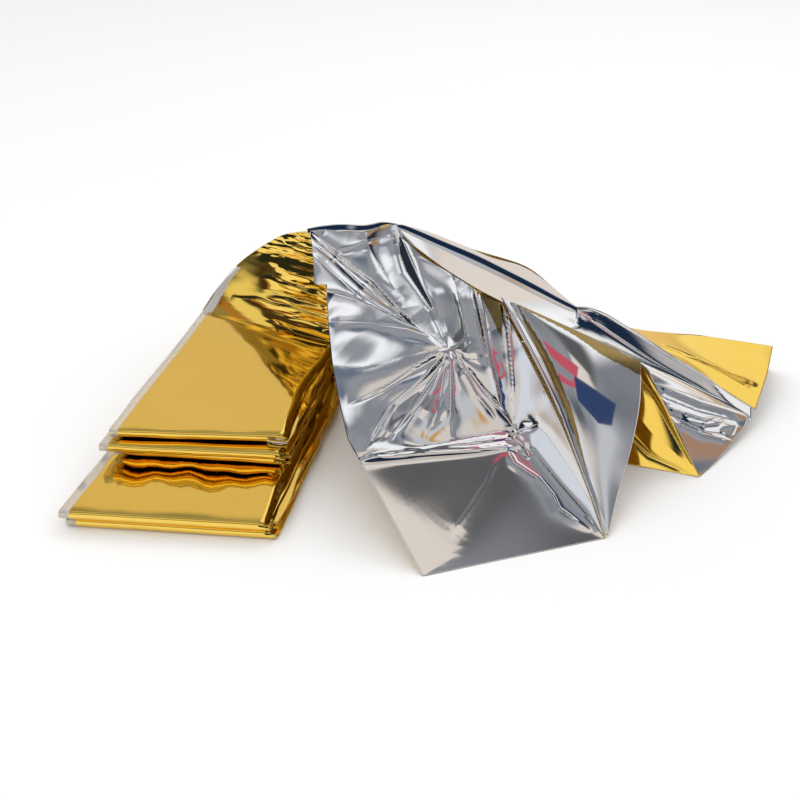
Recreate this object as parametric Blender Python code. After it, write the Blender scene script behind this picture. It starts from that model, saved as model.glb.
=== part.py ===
"""Emergency foil blanket, half unfolded: one sheet of film in a single folded and draped form.

The folded packet lies flat, its top ply rises as an arch behind it, and from the ridge the loose
leaves spread out as a low tent. Millimetres in the tables, metres in the mesh. X runs to the right,
Y runs back, Z is up.
"""
import math

import bmesh
import bpy
import numpy as np

MM = 0.001
THICKNESS = 2.2       # one ply of the strip: sixteen leaves of film with a little air between them
PLY_PITCH = 3.0       # height from one ply of the packet to the next
BEND_STEPS = 6        # straight lengths in each half-round fold
LONGEST_MITRE = 2.6   # how far a sharp crease may push a corner of the sheet's two faces

PACKET_CORNER = (-65.0, 0.0)     # the packet's front right corner on the surface
PACKET_TURN = math.radians(10)   # the packet is turned clockwise, seen from above

# The packet, from the free end at the bottom to the crease where the arch leaves it.
# end: which way the fold points. left/right depth: how far back each end of the fold line is.
# left/right: where the ply's two side edges are, measured along the packet's width.
FOLDS = [
    # end, left depth, right depth, left, right
    ("tail", 166, 168, -100, -2),
    ("front", -5, 2, -108, 0),
    ("back", 172, 170, -101, -1),
    ("front", -8, 0, -110, -1),
    ("back", 180, 166, -102, -3),
    ("front", 43, 47, -104, -7),
    ("back", 186, 168, -101, -6),
    ("front", 44, 52, -103, -9),
    ("back", 190, 167, -101, -5),
    ("front", 46, 57, -102, -8),
    ("crease", 201, 171, -99, -9),
]

# Where creases meet on the open leaves: the middle of the film, name: (x, y, z).
ARCH = {
    "arch_foot": (-121, 222, 38),
    "arch_step": (-110, 226, 50),
    "arch_side": (-90, 222, 68),
    "arch_top": (-71, 208, 84),
    "arch_end": (-54, 186, 95),
}
RIDGE = {
    "notch": (-20, 176, 101),
    "peak": (-2, 170, 106),
    "ridge_middle": (53, 171, 80),
    "ridge_pinch": (108, 172, 50),
    "roll_start": (146, 150, 31),
    "roll_middle": (171, 150, 30),
    "roll_end": (208, 121, 14),
}
DRAPE = {
    "edge_high": (-49, 150, 75),
    "edge_middle": (-38, 95, 54),
    "edge_low": (-27, 38, 37),
    "pleat_left": (-20, 20, 35),
    "fan_high": (-12, 138, 79),
    "fan_right": (17, 118, 77),
    "hub": (26, 86, 66),
    "fan_low": (-18, 66, 48),
    "fan_foot": (26, 56, 51),
    "fan_side": (47, 84, 62),
    "small_hub": (61, 62, 31),
    "pleat_right": (68, 52, 25),
    "front_corner": (11, -29, 0),
    "flap_tip": (105, 3, 0),
}
FLAP = {
    "long_edge_start": (6, 160, 97),
    "long_edge_low": (29, 138, 88),
    "flap_shoulder": (57, 116, 80),
    "flap_ridge": (84, 58, 43),
    "flap_top": (103, 104, 64),
    "flap_corner": (133, 94, 53),
    "valley_foot": (126, 76, 0),
}
FREE_END = {
    "right_corner": (165, 61, 0),
    "end_low": (190, 93, 3),
    "end_middle": (203, 113, 8),
    "gold_low": (217, 138, 17),
    "gold_tip": (230, 170, 26),
    "gold_back": (187, 181, 28),
    "gold_start": (147, 186, 30),
}
BACK = {
    "crest_high": (35, 188, 86),
    "crest_low": (78, 195, 68),
    "back_left": (-95, 246, 0),
    "back_arch": (-30, 240, 0),
    "back_middle": (40, 234, 0),
    "back_crest": (105, 226, 0),
    "back_roll": (150, 214, 0),
    "back_gold": (195, 205, 0),
    "back_tip": (236, 190, 0),
}

# Panels between creases, each in counterclockwise order seen from the outer side of the tent.
PANELS = [
    # the arch that rises from the packet's top ply
    ("crease_left", "crease_right", "arch_foot"),
    ("arch_foot", "crease_right", "arch_step"),
    ("arch_step", "crease_right", "arch_side"),
    ("arch_side", "crease_right", "arch_top"),
    ("arch_top", "crease_right", "arch_end"),
    # the front drape, creased into a fan around its hub
    ("arch_end", "edge_high", "fan_high"),
    ("arch_end", "fan_high", "notch"),
    ("notch", "fan_high", "fan_right"),
    ("notch", "fan_right", "peak"),
    ("fan_high", "hub", "fan_right"),
    ("edge_high", "hub", "fan_high"),
    ("edge_high", "edge_middle", "hub"),
    ("edge_middle", "fan_low", "hub"),
    ("edge_middle", "edge_low", "fan_low"),
    ("edge_low", "pleat_left", "fan_low"),
    ("fan_low", "fan_foot", "hub"),
    ("fan_low", "pleat_left", "fan_foot"),
    ("pleat_left", "small_hub", "fan_foot"),
    ("fan_foot", "small_hub", "hub"),
    ("hub", "small_hub", "fan_side"),
    ("peak", "fan_right", "long_edge_start"),
    ("long_edge_start", "fan_right", "hub"),
    ("long_edge_start", "hub", "long_edge_low"),
    ("long_edge_low", "hub", "fan_side"),
    ("long_edge_low", "fan_side", "flap_shoulder"),
    ("fan_side", "small_hub", "flap_shoulder"),
    # the flat panel under the pleat, down to the surface
    ("pleat_left", "pleat_right", "small_hub"),
    ("pleat_left", "front_corner", "pleat_right"),
    ("front_corner", "flap_tip", "pleat_right"),
    # the three-cornered flap and the valley behind its free edge
    ("flap_shoulder", "small_hub", "flap_ridge"),
    ("small_hub", "pleat_right", "flap_ridge"),
    ("pleat_right", "flap_tip", "flap_ridge"),
    ("flap_shoulder", "flap_ridge", "flap_top"),
    ("flap_top", "flap_ridge", "flap_corner"),
    ("flap_ridge", "flap_tip", "flap_corner"),
    ("flap_corner", "flap_tip", "valley_foot"),
    ("flap_corner", "valley_foot", "right_corner"),
    # the long leaf from the ridge to the free end
    ("peak", "long_edge_start", "long_edge_low"),
    ("peak", "long_edge_low", "ridge_middle"),
    ("ridge_middle", "long_edge_low", "flap_shoulder"),
    ("ridge_middle", "flap_shoulder", "ridge_pinch"),
    ("ridge_pinch", "flap_shoulder", "flap_top"),
    ("ridge_pinch", "flap_top", "flap_corner"),
    ("ridge_pinch", "flap_corner", "roll_start"),
    ("roll_start", "flap_corner", "roll_middle"),
    ("roll_middle", "flap_corner", "end_middle"),
    ("roll_middle", "end_middle", "roll_end"),
    ("flap_corner", "end_low", "end_middle"),
    ("flap_corner", "right_corner", "end_low"),
    # the leaf that stands up behind the ridge, and the gold end behind the roll
    ("peak", "ridge_middle", "crest_high"),
    ("ridge_middle", "crest_low", "crest_high"),
    ("ridge_middle", "ridge_pinch", "crest_low"),
    ("ridge_pinch", "roll_start", "gold_start"),
    ("roll_start", "roll_middle", "gold_start"),
    ("roll_middle", "gold_back", "gold_start"),
    ("roll_middle", "gold_tip", "gold_back"),
    ("roll_middle", "gold_low", "gold_tip"),
    ("roll_middle", "roll_end", "gold_low"),
    # the back of the tent, down to the surface
    ("arch_foot", "arch_step", "back_left"),
    ("arch_step", "arch_side", "back_left"),
    ("arch_side", "back_arch", "back_left"),
    ("arch_side", "arch_top", "back_arch"),
    ("arch_top", "arch_end", "back_arch"),
    ("arch_end", "notch", "back_arch"),
    ("notch", "peak", "crest_high"),
    ("notch", "crest_high", "back_arch"),
    ("crest_high", "back_middle", "back_arch"),
    ("crest_high", "crest_low", "back_middle"),
    ("crest_low", "back_crest", "back_middle"),
    ("crest_low", "ridge_pinch", "back_crest"),
    ("ridge_pinch", "gold_start", "back_crest"),
    ("gold_start", "back_roll", "back_crest"),
    ("gold_start", "gold_back", "back_roll"),
    ("gold_back", "back_gold", "back_roll"),
    ("gold_back", "gold_tip", "back_gold"),
    ("gold_tip", "back_tip", "back_gold"),
]


def clear_scene():
    for old in list(bpy.data.objects):
        bpy.data.objects.remove(old, do_unlink=True)


def packet_point(across, depth, height):
    """A point of the packet, from its own width and depth to the part's frame."""
    right = (math.cos(PACKET_TURN), -math.sin(PACKET_TURN))
    back = (math.sin(PACKET_TURN), math.cos(PACKET_TURN))
    x = PACKET_CORNER[0] + across * right[0] + depth * back[0]
    y = PACKET_CORNER[1] + across * right[1] + depth * back[1]
    return (x, y, height)


def packet_rows():
    """Pairs of left and right points along the strip, from its free end up to the crease."""
    radius = PLY_PITCH / 2
    height = THICKNESS / 2
    rows = []
    for end, left_depth, right_depth, left, right in FOLDS:
        if end in ("tail", "crease"):
            rows.append((packet_point(left, left_depth, height),
                         packet_point(right, right_depth, height)))
            continue
        outward = -1 if end == "front" else 1
        for step in range(BEND_STEPS + 1):
            turn = math.pi * step / BEND_STEPS
            reach = outward * radius * (math.sin(turn) - 1)
            rise = height + radius * (1 - math.cos(turn))
            rows.append((packet_point(left, left_depth + reach, rise),
                         packet_point(right, right_depth + reach, rise)))
        height += PLY_PITCH
    return rows


def middle_surface():
    """The film's middle: named points, and its faces as lists of names."""
    points = {}
    for group in (ARCH, RIDGE, DRAPE, FLAP, FREE_END, BACK):
        points.update(group)
    rows = packet_rows()
    names = [(f"left_{i}", f"right_{i}") for i in range(len(rows) - 1)]
    names.append(("crease_left", "crease_right"))
    for (left_name, right_name), (left, right) in zip(names, rows):
        points[left_name] = left
        points[right_name] = right
    faces = [(a[0], a[1], b[1], b[0]) for a, b in zip(names, names[1:])]
    return points, faces + PANELS


def face_normal(corners):
    total = np.zeros(3)
    for a, b in zip(corners, corners[1:] + corners[:1]):
        total += np.cross(a, b)
    return total / np.linalg.norm(total)


def half_wall(normals, on_surface):
    """The step from the film's middle to its outer face, the same distance from every panel."""
    planes = np.array(normals)
    if on_surface:
        planes[:, 2] = 0.0
    step = np.linalg.pinv(planes, rcond=0.15) @ np.full(len(planes), THICKNESS / 2)
    length = np.linalg.norm(step)
    return step * min(1.0, LONGEST_MITRE / length)


def thicken(points, faces):
    """One closed body: the outer face, the inner face and the cut edge that joins them."""
    place = {name: np.array(point, dtype=float) for name, point in points.items()}
    normals = {name: [] for name in points}
    for face in faces:
        normal = face_normal([place[name] for name in face])
        for name in face:
            normals[name].append(normal)
    mesh = bmesh.new()
    outer = {}
    inner = {}
    for name, point in place.items():
        step = half_wall(normals[name], point[2] == 0.0)
        outer[name] = mesh.verts.new((point + step) * MM)
        inner[name] = mesh.verts.new((point - step) * MM)
    edges = set()
    for face in faces:
        mesh.faces.new([outer[name] for name in face])
        mesh.faces.new([inner[name] for name in reversed(face)])
        edges.update(zip(face, face[1:] + face[:1]))
    for a, b in edges:
        if (b, a) not in edges:
            mesh.faces.new((outer[b], outer[a], inner[a], inner[b]))
    return mesh


def film_material():
    material = bpy.data.materials.new("metallised_film")
    material.use_nodes = True
    shader = material.node_tree.nodes["Principled BSDF"]
    shader.inputs["Base Color"].default_value = (0.80, 0.81, 0.83, 1.0)
    shader.inputs["Metallic"].default_value = 1.0
    shader.inputs["Roughness"].default_value = 0.12
    material.diffuse_color = (0.80, 0.81, 0.83, 1.0)
    return material


def origin_shift(mesh):
    """Puts the origin at the middle of the base of the blanket's box."""
    places = np.array([vert.co[:] for vert in mesh.verts])
    low = places.min(axis=0)
    high = places.max(axis=0)
    middle = ((low[0] + high[0]) / 2, (low[1] + high[1]) / 2, low[2])
    bmesh.ops.translate(mesh, verts=mesh.verts, vec=[-value for value in middle])


def build_blanket():
    points, faces = middle_surface()
    mesh = thicken(points, faces)
    bmesh.ops.triangulate(mesh, faces=mesh.faces)
    origin_shift(mesh)
    data = bpy.data.meshes.new("foil_blanket")
    mesh.to_mesh(data)
    mesh.free()
    data.materials.append(film_material())
    blanket = bpy.data.objects.new("foil_blanket", data)
    bpy.context.collection.objects.link(blanket)


clear_scene()
build_blanket()
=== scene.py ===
# %% [markdown]
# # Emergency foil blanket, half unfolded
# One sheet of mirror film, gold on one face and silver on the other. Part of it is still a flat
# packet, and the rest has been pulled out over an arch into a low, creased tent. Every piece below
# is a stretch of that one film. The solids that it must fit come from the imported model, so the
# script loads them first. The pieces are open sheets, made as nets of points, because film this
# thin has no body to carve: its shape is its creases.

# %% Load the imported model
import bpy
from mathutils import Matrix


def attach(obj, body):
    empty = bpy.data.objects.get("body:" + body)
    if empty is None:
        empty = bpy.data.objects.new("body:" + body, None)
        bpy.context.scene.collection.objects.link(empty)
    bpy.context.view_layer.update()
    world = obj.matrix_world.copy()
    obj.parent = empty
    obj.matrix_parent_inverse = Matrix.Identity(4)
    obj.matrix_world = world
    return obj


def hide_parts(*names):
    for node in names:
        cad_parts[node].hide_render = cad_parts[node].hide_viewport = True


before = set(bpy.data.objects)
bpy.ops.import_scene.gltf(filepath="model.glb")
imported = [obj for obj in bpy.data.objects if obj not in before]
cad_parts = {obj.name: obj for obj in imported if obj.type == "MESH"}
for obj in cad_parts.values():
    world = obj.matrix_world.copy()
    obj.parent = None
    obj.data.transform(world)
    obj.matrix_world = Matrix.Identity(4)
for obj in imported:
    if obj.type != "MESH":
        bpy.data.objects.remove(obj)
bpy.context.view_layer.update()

import math

import bmesh
import bpy
import numpy as np
from mathutils import Vector
from mathutils.bvhtree import BVHTree

# %% [markdown]
# ## Sizes and places
# The tables are in millimetres, in the frame in which the blanket was laid out: X runs right, Y runs
# back, Z is up, and the packet's front right corner is `PACKET_CORNER`. `ORIGIN` is where the packed
# model's own origin lies in that frame. Millimetres keep the tables short to read.

# %% Driving sizes
MM = 0.001
ORIGIN = np.array([30.826, 108.016, 0.0])
FILM = 0.14               # thickness given to the film's mesh, much more than the real 0.012
PLY_PITCH = 3.0           # from one ply of the packet to the next
PACKET_CORNER = (-65.0, 0.0)
PACKET_TURN = math.radians(10)
LEAVES = 4                # leaves of film that are modelled in each ply
LEAF_GAP = 0.62           # from one leaf of a ply to the next
LEAF_WIDTH = 0.100        # of the strip before it is pleated, in metres
LOWEST = 0.05             # no part of an open leaf's net goes below this height


def to_frame(points):
    """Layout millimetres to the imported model's metres."""
    return (np.asarray(points, dtype=float) - ORIGIN) * MM


# %% [markdown]
# ## Where the creases meet
# A draped film is nearly flat between its creases, so a short list of meeting points says most of
# its shape. Each has a name, and the silver drape's panels are stretched between the names. Points
# picked one by one in the viewport would give the same mesh, but a name says what moves.

# %% Named points of the silver drape
POINTS = {
    "arch_end": (-54, 186, 95), "notch": (-20, 176, 101), "peak": (-2, 170, 106),
    "edge_high": (-49, 150, 75), "edge_middle": (-38, 95, 54), "edge_low": (-27, 38, 37),
    "pleat_left": (-20, 20, 35), "fan_high": (-12, 138, 79), "fan_right": (17, 118, 77),
    "hub": (26, 86, 66), "fan_low": (-18, 66, 48), "fan_foot": (26, 56, 51),
    "fan_side": (47, 84, 62), "small_hub": (61, 62, 31), "pleat_right": (68, 52, 25),
    "front_corner": (11, -29, 0), "flap_tip": (105, 3, 0),
    "long_edge_start": (6, 160, 97), "long_edge_low": (29, 138, 88),
    "flap_shoulder": (57, 116, 80), "flap_ridge": (84, 58, 43),
}
print("meeting points:", len(POINTS))

# %% [markdown]
# ## Node helpers
# A material or a Geometry Nodes tree is a list of nodes and links. `add_node` makes one node and
# fills its inputs: a plain value is set on the socket, and an output socket is linked to it. The
# same tree could be wired by hand in the node editor, but a script makes it the same each time.


# %% Node helpers
def add_node(tree, kind, inputs=None, **settings):
    node = tree.nodes.new(kind)
    for name, value in settings.items():
        setattr(node, name, value)
    for key, value in (inputs or {}).items():
        if isinstance(value, bpy.types.NodeSocket):
            tree.links.new(value, node.inputs[key])
        else:
            node.inputs[key].default_value = value
    return node


def add_math(tree, operation, *values):
    node = add_node(tree, "ShaderNodeMath", dict(enumerate(values)), operation=operation)
    return node.outputs[0]


def new_group(name, kind, sockets):
    """A node group with its inputs and outputs; returns the tree and both of its end nodes."""
    tree = bpy.data.node_groups.new(name, kind)
    for side, label, socket_type, default in sockets:
        socket = tree.interface.new_socket(label, in_out=side, socket_type=socket_type)
        if default is not None:
            socket.default_value = default
    return tree, tree.nodes.new("NodeGroupInput"), tree.nodes.new("NodeGroupOutput")


# %% [markdown]
# ## The crinkle of handled film
# Thin film that has been packed keeps a net of fine straight creases, with nearly flat facets
# between them. Bump can't bend an outline, but a mirror shows every small tilt, so this net is a
# bump: the distance to the border of a Voronoi cell is a set of flat-sided ridges. Two sizes of cell
# and a little noise to bend the borders keep it from looking like tiles. All the film materials use
# it, so it is a node group.


# %% Crinkle group
def crinkle_group():
    tree, source, result = new_group("film_crinkle", "ShaderNodeTree", [
        ("INPUT", "Cell Size", "NodeSocketFloat", 0.012),
        ("INPUT", "Bend", "NodeSocketFloat", 0.3),
        ("OUTPUT", "Height", "NodeSocketFloat", None),
        ("OUTPUT", "Patches", "NodeSocketFloat", None),
    ])
    place = add_node(tree, "ShaderNodeTexCoord").outputs["Object"]
    scale = add_math(tree, "DIVIDE", 1.0, source.outputs["Cell Size"])
    bend = add_node(tree, "ShaderNodeTexNoise", {"Vector": place, "Scale": scale, "Detail": 1.0})
    shift = add_node(tree, "ShaderNodeVectorMath", {0: bend.outputs["Color"], 1: (0.5, 0.5, 0.5)},
                     operation="SUBTRACT").outputs[0]
    reach = add_math(tree, "MULTIPLY", source.outputs["Cell Size"], source.outputs["Bend"])
    shift = add_node(tree, "ShaderNodeVectorMath", {0: shift, 3: reach}, operation="SCALE").outputs[0]
    bent = add_node(tree, "ShaderNodeVectorMath", {0: place, 1: shift}, operation="ADD").outputs[0]
    big = add_node(tree, "ShaderNodeTexVoronoi", {"Vector": bent, "Scale": scale},
                   feature="DISTANCE_TO_EDGE").outputs["Distance"]
    fine_scale = add_math(tree, "MULTIPLY", scale, 2.7)
    fine = add_node(tree, "ShaderNodeTexVoronoi", {"Vector": bent, "Scale": fine_scale},
                    feature="DISTANCE_TO_EDGE").outputs["Distance"]
    height = add_math(tree, "MULTIPLY_ADD", fine, 0.35, big)
    tree.links.new(height, result.inputs["Height"])
    patch_scale = add_math(tree, "MULTIPLY", scale, 0.25)
    patches = add_node(tree, "ShaderNodeTexNoise", {"Vector": place, "Scale": patch_scale})
    tree.links.new(patches.outputs["Fac"], result.inputs["Patches"])
    return tree


CRINKLE = crinkle_group()
print("shader groups:", CRINKLE.name)

# %% [markdown]
# ## Film materials
# A metal coat on clear film is a very smooth metal: the silver face is aluminium, and the gold face
# is the same aluminium seen through amber lacquer. The colour of a metal is its base colour, and its
# roughness stays low, a little higher in soft patches where fingers have been. A darker brown-gold
# copy of the gold film is a painted reflection: it is put on a few bands and patches of silver to
# stand in for gold mirrored there. The clear selvage has no metal coat: it is a plain see-through
# plastic with a milky cloud in it.


# %% Film materials
def film_material(name, colour, tint, roughness, cell, strength):
    material = bpy.data.materials.new(name)
    material.use_nodes = True
    tree = material.node_tree
    shader = tree.nodes["Principled BSDF"]
    crinkle = add_node(tree, "ShaderNodeGroup", node_tree=CRINKLE)
    crinkle.inputs["Cell Size"].default_value = cell
    bump = add_node(tree, "ShaderNodeBump", {"Height": crinkle.outputs["Height"],
                                             "Strength": strength, "Distance": 0.0012})
    tree.links.new(bump.outputs["Normal"], shader.inputs["Normal"])
    hue = add_node(tree, "ShaderNodeMix", {"Factor": crinkle.outputs["Patches"], 6: colour, 7: tint},
                   data_type="RGBA")
    tree.links.new(hue.outputs[2], shader.inputs["Base Color"])
    handled = add_node(tree, "ShaderNodeMapRange", {"Value": crinkle.outputs["Patches"],
                                                    "From Min": 0.35, "From Max": 0.75,
                                                    "To Min": roughness, "To Max": roughness * 2.2})
    tree.links.new(handled.outputs["Result"], shader.inputs["Roughness"])
    shader.inputs["Metallic"].default_value = 1.0
    material.diffuse_color = colour
    return material


SILVER_HUE = (0.86, 0.87, 0.89, 1.0)
SILVER_TINT = (0.80, 0.82, 0.86, 1.0)
GOLD_HUE = (0.95, 0.68, 0.15, 1.0)
GOLD_TINT = (0.92, 0.62, 0.11, 1.0)
SILVER_SMOOTH = film_material("silver_film_smooth", SILVER_HUE, SILVER_TINT, 0.04, 0.030, 0.003)
SILVER_CREASED = film_material("silver_film_creased", SILVER_HUE, SILVER_TINT, 0.05, 0.012, 0.0012)
GOLD_SMOOTH = film_material("gold_film_smooth", GOLD_HUE, GOLD_TINT, 0.05, 0.026, 0.006)
# painted reflection: a darker brown-gold copy of the gold film, put on silver where gold is mirrored
PAINTED_REFLECTION_HUE = (0.36, 0.26, 0.10, 1.0)
PAINTED_REFLECTION_TINT = (0.28, 0.20, 0.07, 1.0)
PAINTED_GOLD_REFLECTION = film_material("gold_film_painted_reflection", PAINTED_REFLECTION_HUE, PAINTED_REFLECTION_TINT, 0.10, 0.012, 0.06)
GOLD_CREASED = film_material("gold_film_creased", GOLD_HUE, GOLD_TINT, 0.05, 0.010, 0.008)


def clear_material():
    material = bpy.data.materials.new("clear_film_edge")
    material.use_nodes = True
    tree = material.node_tree
    shader = tree.nodes["Principled BSDF"]
    crinkle = add_node(tree, "ShaderNodeGroup", node_tree=CRINKLE)
    crinkle.inputs["Cell Size"].default_value = 0.006
    bump = add_node(tree, "ShaderNodeBump", {"Height": crinkle.outputs["Height"], "Strength": 0.4,
                                             "Distance": 0.001})
    tree.links.new(bump.outputs["Normal"], shader.inputs["Normal"])
    cloud = add_node(tree, "ShaderNodeMapRange", {"Value": crinkle.outputs["Patches"],
                                                  "To Min": 0.30, "To Max": 0.55})
    tree.links.new(cloud.outputs["Result"], shader.inputs["Alpha"])
    shader.inputs["Base Color"].default_value = (0.72, 0.71, 0.70, 1.0)
    shader.inputs["Roughness"].default_value = 0.12
    return material


CLEAR_EDGE = clear_material()
print("materials:", [m.name for m in bpy.data.materials])

# %% [markdown]
# ## The folded packet
# The film was first pleated across its width into a strip of narrow leaves, and the strip was then
# folded back and forth along its length. Both folds follow a rule, so the packet is a Geometry Nodes
# tree. Its grid has one row of points for each place along the strip and one column for each place
# across all the leaves. Ping-Pong turns the columns back and forth between the strip's two side
# edges, and each leaf lies a little outside the one before. The side edges come in as two small
# meshes of points that the next cell works out from the table of folds.

# %% The strip's two side edges
FOLDS = [
    # end, left depth, right depth, left, right
    ("tail", 166, 168, -100, -2),
    ("front", -5, 2, -108, 0),
    ("back", 172, 170, -101, -1),
    ("front", -8, 0, -110, -1),
    ("back", 180, 166, -102, -3),
    ("front", 48, 53, -101, -8),
    ("back", 186, 168, -101, -6),
    ("front", 40, 48, -106, -9),
    ("back", 190, 167, -101, -5),
    ("front", 46, 57, -102, -8),
    ("crease", 201, 171, -99, -9),
]
BEND_STEPS = 8
PLY_STEPS = 26


def packet_point(across, depth, height):
    right = (math.cos(PACKET_TURN), -math.sin(PACKET_TURN))
    back = (math.sin(PACKET_TURN), math.cos(PACKET_TURN))
    return np.array([PACKET_CORNER[0] + across * right[0] + depth * back[0],
                     PACKET_CORNER[1] + across * right[1] + depth * back[1], height])


def strip_edges():
    """Left point, right point and outward direction for each place along the strip."""
    radius = PLY_PITCH / 2
    height = PLY_PITCH / 2 - 0.2
    back = np.array([math.sin(PACKET_TURN), math.cos(PACKET_TURN), 0.0])
    up = np.array([0.0, 0.0, 1.0])
    rows = []
    for end, left_depth, right_depth, left, right in FOLDS:
        turn_out = {"front": -1, "back": 1}.get(end, 0)
        steps = BEND_STEPS if turn_out else 0
        bend = []
        for step in range(steps + 1):
            angle = math.pi * step / max(steps, 1)
            reach = turn_out * radius * (math.sin(angle) - 1)
            rise = height + (radius * (1 - math.cos(angle)) if turn_out else 0.0)
            side = -up * math.cos(angle) - back * math.sin(angle)
            if end == "back":
                side = up * math.cos(angle) - back * math.sin(angle)
            if end == "tail":
                side = -up
            if end == "crease":
                side = up
            bend.append((packet_point(left, left_depth + reach, rise),
                         packet_point(right, right_depth + reach, rise), side))
        if rows:
            last = rows[-1]
            first = bend[0]
            for step in range(1, PLY_STEPS):
                t = step / PLY_STEPS
                rows.append(tuple(last[k] * (1 - t) + first[k] * t for k in range(3)))
        rows.extend(bend)
        if turn_out:
            height += PLY_PITCH
    return rows


def edge_mesh(name, points, outward):
    mesh = bpy.data.meshes.new(name)
    mesh.from_pydata([tuple(p) for p in to_frame(points)], [], [])
    store = mesh.attributes.new("outward", "FLOAT_VECTOR", "POINT")
    store.data.foreach_set("vector", np.asarray(outward, dtype=np.float32).ravel())
    edge = bpy.data.objects.new(name, mesh)
    bpy.context.collection.objects.link(edge)
    return edge


strip = strip_edges()
left_edge = edge_mesh("strip_left_edge", [row[0] for row in strip], [row[2] for row in strip])
right_edge = edge_mesh("strip_right_edge", [row[1] for row in strip], [row[2] for row in strip])
print("places along the strip:", len(strip))

# %% [markdown]
# ## The tree that folds the strip
# The leaves could be drawn one by one, but that would be slow and too regular. The tree starts from a
# flat grid. It works out which leaf each point is on and how far across it, reads the matching places
# on the two side edges, and moves the point between them. Noise shifts each pair of leaves sideways
# and lifts the film a little. The clear selvage is the last stretch of the last leaf.


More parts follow.
